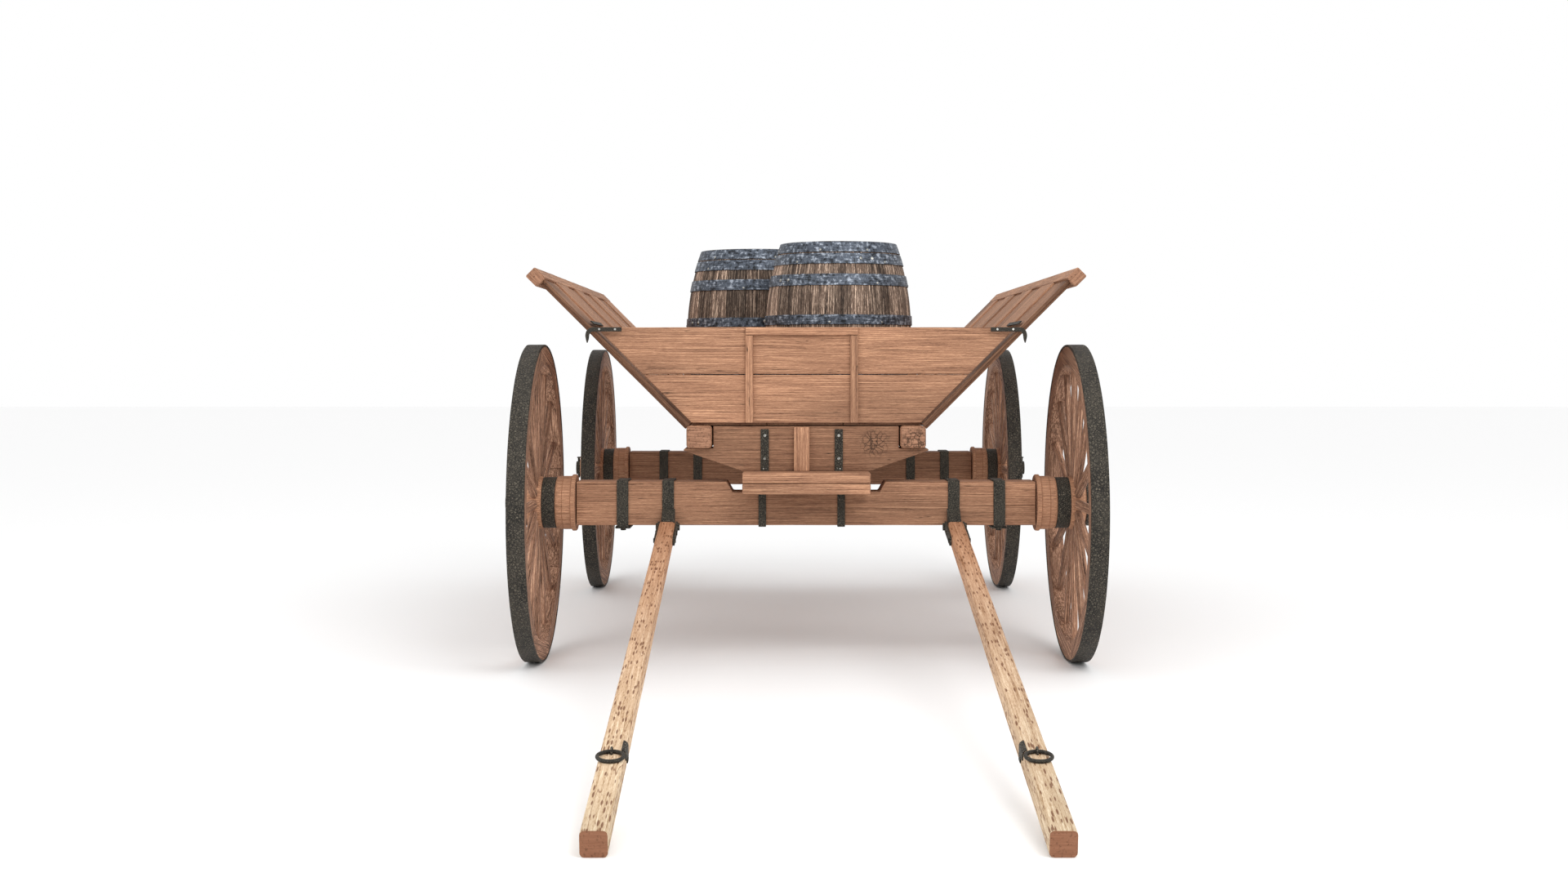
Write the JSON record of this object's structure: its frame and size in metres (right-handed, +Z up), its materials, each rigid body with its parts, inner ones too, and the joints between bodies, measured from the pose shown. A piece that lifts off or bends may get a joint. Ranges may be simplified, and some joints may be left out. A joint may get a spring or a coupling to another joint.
{
  "type": "wooden farm wagon",
  "caption": "Horse-drawn wooden farm wagon with flared sides, spoked iron-tyred wheels, a turning front carriage, hinged draught shafts and casks in the bed.",
  "frame": {"origin": "bottom centre of the whole wagon's box at rest, on the ground", "axes": "+Z up, -Y to the front where the shafts lie, +X across the wagon; left and right are as seen from in front, so left is -X"},
  "size_m": [2.084, 5.435, 1.4755],
  "materials": {
    "cart_wood": "weathered, dry, warm brown",
    "shaft_wood": "bare ash, worn pale on top",
    "forged_iron": "hammered and pitted black iron",
    "bolt_steel": "worn bright bolt heads",
    "cask_oak": "old grey-brown oak",
    "hoop_steel": "dull blue-grey rolled steel"
  },
  "bodies": {
    "wagon_body": {"bed_sills": "cart_wood", "front_bolster": "cart_wood", "rear_bolster": "cart_wood", "bolster_cleats": "cart_wood", "bolster_straps": "forged_iron", "strap_bolts": "bolt_steel", "floor_planks": "cart_wood", "side_planks_left": "cart_wood", "side_planks_right": "cart_wood", "side_stakes": "cart_wood", "top_rails": "cart_wood", "front_board_planks": "cart_wood", "front_board_battens": "cart_wood", "rear_board_planks": "cart_wood", "rear_board_battens": "cart_wood", "corner_irons": "forged_iron", "upper_turning_plate": "cart_wood", "king_pin": "forged_iron", "rear_bolster_block": "cart_wood", "rear_axle_beam": "cart_wood", "rear_axle_straps": "forged_iron", "rear_axle_arms": "forged_iron"},
    "front_carriage": {"front_axle_beam": "cart_wood", "lower_turning_plate": "cart_wood", "front_axle_straps": "forged_iron", "shaft_lugs": "forged_iron", "front_axle_arms": "forged_iron"},
    "front_left_wheel": {"front_left_wheel_nave": "cart_wood", "front_left_wheel_spokes": "cart_wood", "front_left_wheel_felloes": "cart_wood", "front_left_wheel_tyre": "forged_iron", "front_left_wheel_nave_irons": "forged_iron"},
    "front_right_wheel": {"front_right_wheel_nave": "cart_wood", "front_right_wheel_spokes": "cart_wood", "front_right_wheel_felloes": "cart_wood", "front_right_wheel_tyre": "forged_iron", "front_right_wheel_nave_irons": "forged_iron"},
    "rear_left_wheel": {"rear_left_wheel_nave": "cart_wood", "rear_left_wheel_spokes": "cart_wood", "rear_left_wheel_felloes": "cart_wood", "rear_left_wheel_tyre": "forged_iron", "rear_left_wheel_nave_irons": "forged_iron"},
    "rear_right_wheel": {"rear_right_wheel_nave": "cart_wood", "rear_right_wheel_spokes": "cart_wood", "rear_right_wheel_felloes": "cart_wood", "rear_right_wheel_tyre": "forged_iron", "rear_right_wheel_nave_irons": "forged_iron"},
    "shaft_left": {"shaft_left_pole": "shaft_wood", "shaft_left_irons": "forged_iron"},
    "ring_left": {"shaft_left_ring": "forged_iron"},
    "shaft_right": {"shaft_right_pole": "shaft_wood", "shaft_right_irons": "forged_iron"},
    "ring_right": {"shaft_right_ring": "forged_iron"},
    "cask_front": {"cask_front_staves": "cask_oak", "cask_front_heads": "cask_oak", "cask_front_hoops": "hoop_steel"},
    "cask_rear": {"cask_rear_staves": "cask_oak", "cask_rear_heads": "cask_oak", "cask_rear_hoops": "hoop_steel"}
  },
  "joints": [
    {"name": "steering", "type": "hinge", "parent": "wagon_body", "child": "front_carriage", "pos_m": [0, -0.0675, 0.6275], "axis": [0, 0, 1], "range_deg": [-25, 25]},
    {"name": "front_left_wheel_spin", "type": "hinge", "parent": "front_carriage", "child": "front_left_wheel", "pos_m": [-0.935, -0.0675, 0.55], "axis": [1, 0, 0], "continuous": true},
    {"name": "front_right_wheel_spin", "type": "hinge", "parent": "front_carriage", "child": "front_right_wheel", "pos_m": [0.935, -0.0675, 0.55], "axis": [1, 0, 0], "continuous": true},
    {"name": "rear_left_wheel_spin", "type": "hinge", "parent": "wagon_body", "child": "rear_left_wheel", "pos_m": [-0.935, 2.1675, 0.55], "axis": [1, 0, 0], "continuous": true},
    {"name": "rear_right_wheel_spin", "type": "hinge", "parent": "wagon_body", "child": "rear_right_wheel", "pos_m": [0.935, 2.1675, 0.55], "axis": [1, 0, 0], "continuous": true},
    {"name": "shaft_left_lift", "type": "hinge", "parent": "front_carriage", "child": "shaft_left", "pos_m": [-0.473, -0.1905, 0.476], "axis": [-1, 0, 0], "range_deg": [0, 50]},
    {"name": "ring_left_swing", "type": "hinge", "parent": "shaft_left", "child": "ring_left", "pos_m": [-0.473, -2.29533, 0.13824], "axis": [-1, 0, 0], "range_deg": [0, 120]},
    {"name": "shaft_right_lift", "type": "hinge", "parent": "front_carriage", "child": "shaft_right", "pos_m": [0.507, -0.1905, 0.476], "axis": [-1, 0, 0], "range_deg": [0, 50]},
    {"name": "ring_right_swing", "type": "hinge", "parent": "shaft_right", "child": "ring_right", "pos_m": [0.507, -2.29533, 0.13824], "axis": [-1, 0, 0], "range_deg": [0, 120]},
    {"name": "cask_front_lift", "type": "slide", "parent": "wagon_body", "child": "cask_front", "axis": [0, 0, 1], "range_m": [0, 0.7]},
    {"name": "cask_rear_lift", "type": "slide", "parent": "wagon_body", "child": "cask_rear", "axis": [0, 0, 1], "range_m": [0, 0.7]}
  ]
}
